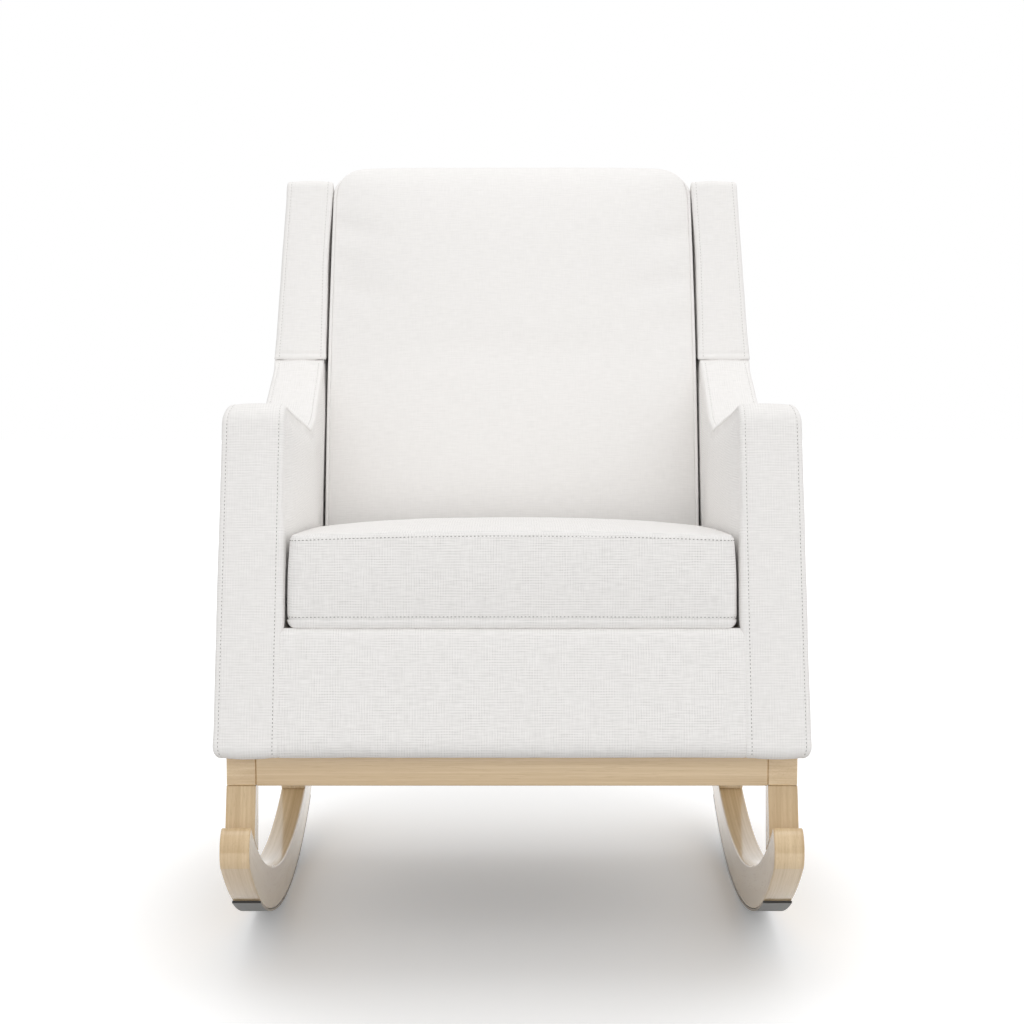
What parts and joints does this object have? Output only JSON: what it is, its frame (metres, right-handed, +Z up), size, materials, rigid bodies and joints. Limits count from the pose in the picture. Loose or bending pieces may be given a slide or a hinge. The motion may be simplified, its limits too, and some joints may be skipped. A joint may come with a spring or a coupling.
{
  "type": "upholstered nursery rocker",
  "caption": "Upholstered rocking chair with padded arms, wings and back, a loose box seat cushion and a wooden base on curved rockers.",
  "frame": {"origin": "on the floor under the middle of the chair's outer box; the rockers touch the floor 8 mm behind it", "axes": "+Z up, -Y to the front of the chair, +X to its right as seen from the front"},
  "size_m": [0.6996, 0.8422, 0.998],
  "materials": {
    "base_wood": "clear satin",
    "frame_wood": "sawn",
    "plywood": "sanded",
    "dowel_wood": "sanded",
    "cover_fabric": "woven linen look",
    "deck_cloth": "plain weave",
    "dust_cloth": "non-woven",
    "webbing": "woven jute",
    "glide_strip": "matt",
    "steel": "zinc plated",
    "insert_brass": "plain",
    "zip_teeth": "moulded"
  },
  "bodies": {
    "chair": {"arm_left": "cover_fabric", "arm_right": "cover_fabric", "back_cushion": "cover_fabric", "back_lower_rail": "frame_wood", "back_panel": "cover_fabric", "back_post_left": "frame_wood", "back_post_right": "frame_wood", "back_top_rail": "frame_wood", "back_webbing": "webbing", "base_bolts": "steel", "base_corner_blocks": "frame_wood", "base_front_rail": "base_wood", "base_rear_rail": "base_wood", "base_side_rail_left": "base_wood", "base_side_rail_right": "base_wood", "bolt_washers": "steel", "deck_cloth": "deck_cloth", "dust_cover": "dust_cloth", "frame_screws": "steel", "front_leg_left": "base_wood", "front_leg_right": "base_wood", "front_panel": "cover_fabric", "glide_strip_left": "glide_strip", "glide_strip_right": "glide_strip", "leg_dowels": "dowel_wood", "rail_dowels": "dowel_wood", "rear_leg_left": "base_wood", "rear_leg_right": "base_wood", "rocker_left": "base_wood", "rocker_right": "base_wood", "seat_corner_blocks": "frame_wood", "seat_front_rail": "frame_wood", "seat_rear_rail": "frame_wood", "seat_side_rail_left": "frame_wood", "seat_side_rail_right": "frame_wood", "side_frame_left": "plywood", "side_frame_right": "plywood", "sinuous_springs": "steel", "spring_clips": "steel", "threaded_inserts": "insert_brass", "top_cap": "cover_fabric", "wing_frame_left": "plywood", "wing_frame_right": "plywood", "wing_left": "cover_fabric", "wing_right": "cover_fabric"},
    "cushion": {"seat_cushion": "cover_fabric", "zip_tape": "cover_fabric", "zip_chain": "zip_teeth"},
    "zip_slider": {"zip_slider": "steel"}
  },
  "joints": [
    {"name": "cushion_lift_out", "type": "slide", "parent": "chair", "child": "cushion", "axis": [0, 0, 1], "range_m": [0, 0.3]},
    {"name": "zip_run", "type": "slide", "parent": "cushion", "child": "zip_slider", "axis": [-1, 0, 0], "range_m": [0, 0.4]}
  ]
}
